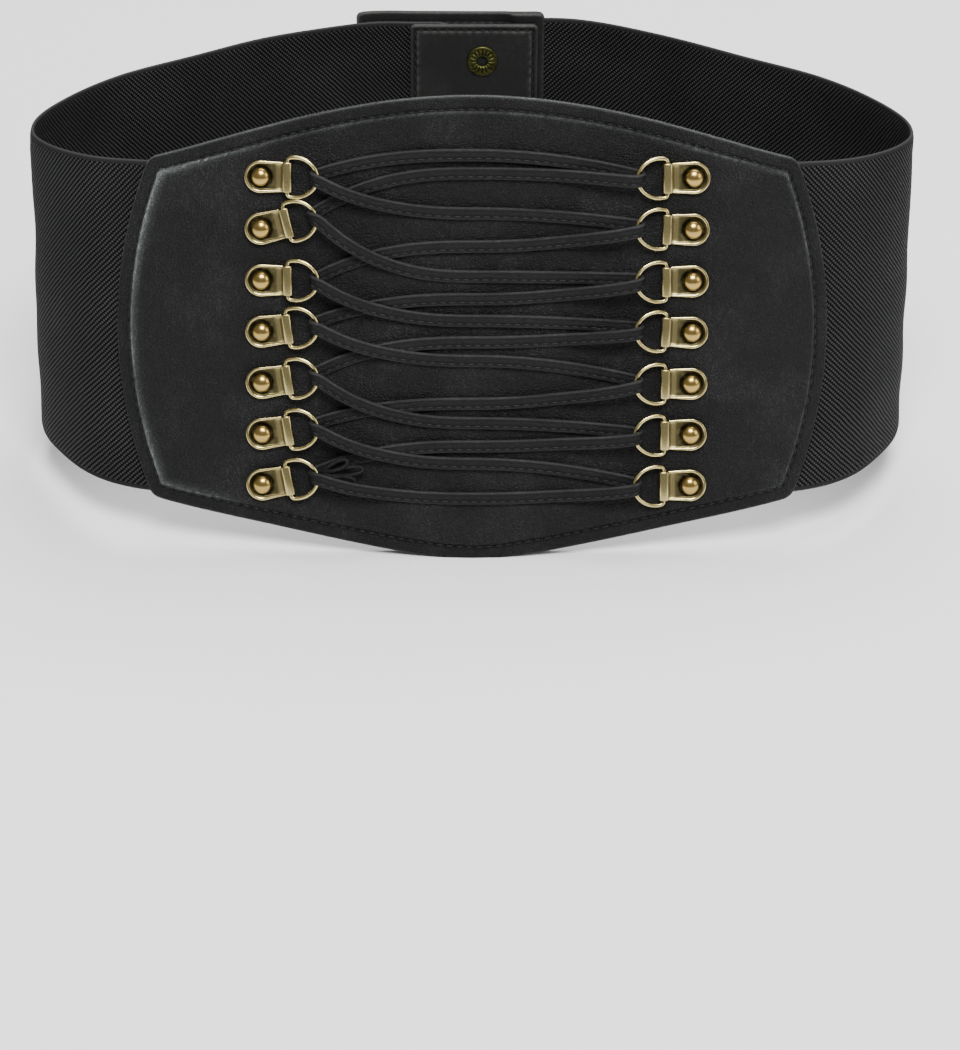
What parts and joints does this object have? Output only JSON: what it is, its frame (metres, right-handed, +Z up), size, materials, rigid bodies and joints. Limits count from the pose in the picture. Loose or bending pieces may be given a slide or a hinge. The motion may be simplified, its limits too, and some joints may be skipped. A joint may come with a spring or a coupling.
{
  "type": "corset belt",
  "caption": "Wide elastic waist belt with a laced leather front panel on D-ring hooks and a snap-fastened leather closure at the back.",
  "frame": {"origin": "middle of the overall box, on the floor that the belt stands on", "axes": "+X across the front panel to the picture's right, -Y out of the front panel, +Z up"},
  "size_m": [0.2798, 0.1864, 0.1375],
  "materials": {
    "face_leather": "fine pebble grain, soft satin",
    "lining_leather": "smooth, semi-gloss",
    "patch_leather": "fine pebble grain, satin",
    "lace_leather": "smooth flat strap, satin",
    "ribbed_elastic": "ribbed woven elastic, matte",
    "antique_brass": "antique, polished on the edges",
    "dark_bronze": "dark antique, dull"
  },
  "bodies": {
    "root": {"panel_face": "face_leather", "panel_lining": "lining_leather", "elastic_right": "ribbed_elastic", "elastic_left": "ribbed_elastic", "closure_outer_patch": "patch_leather", "closure_inner_patch": "patch_leather", "hook_plate_left_1": "antique_brass", "hook_ring_left_1": "antique_brass", "hook_rivet_left_1": "antique_brass", "hook_plate_right_1": "antique_brass", "hook_ring_right_1": "antique_brass", "hook_rivet_right_1": "antique_brass", "hook_plate_left_2": "antique_brass", "hook_ring_left_2": "antique_brass", "hook_rivet_left_2": "antique_brass", "hook_plate_right_2": "antique_brass", "hook_ring_right_2": "antique_brass", "hook_rivet_right_2": "antique_brass", "hook_plate_left_3": "antique_brass", "hook_ring_left_3": "antique_brass", "hook_rivet_left_3": "antique_brass", "hook_plate_right_3": "antique_brass", "hook_ring_right_3": "antique_brass", "hook_rivet_right_3": "antique_brass", "hook_plate_left_4": "antique_brass", "hook_ring_left_4": "antique_brass", "hook_rivet_left_4": "antique_brass", "hook_plate_right_4": "antique_brass", "hook_ring_right_4": "antique_brass", "hook_rivet_right_4": "antique_brass", "hook_plate_left_5": "antique_brass", "hook_ring_left_5": "antique_brass", "hook_rivet_left_5": "antique_brass", "hook_plate_right_5": "antique_brass", "hook_ring_right_5": "antique_brass", "hook_rivet_right_5": "antique_brass", "hook_plate_left_6": "antique_brass", "hook_ring_left_6": "antique_brass", "hook_rivet_left_6": "antique_brass", "hook_plate_right_6": "antique_brass", "hook_ring_right_6": "antique_brass", "hook_rivet_right_6": "antique_brass", "hook_plate_left_7": "antique_brass", "hook_ring_left_7": "antique_brass", "hook_rivet_left_7": "antique_brass", "hook_plate_right_7": "antique_brass", "hook_ring_right_7": "antique_brass", "hook_rivet_right_7": "antique_brass", "snap_cap_left_1": "antique_brass", "snap_cap_right_1": "antique_brass", "snap_cap_left_2": "antique_brass", "snap_cap_right_2": "antique_brass", "snap_cap_left_3": "antique_brass", "snap_cap_right_3": "antique_brass", "snap_stud_right_1": "dark_bronze", "snap_stud_right_2": "dark_bronze", "snap_stud_right_3": "dark_bronze", "lace": "lace_leather"}
  },
  "joints": []
}
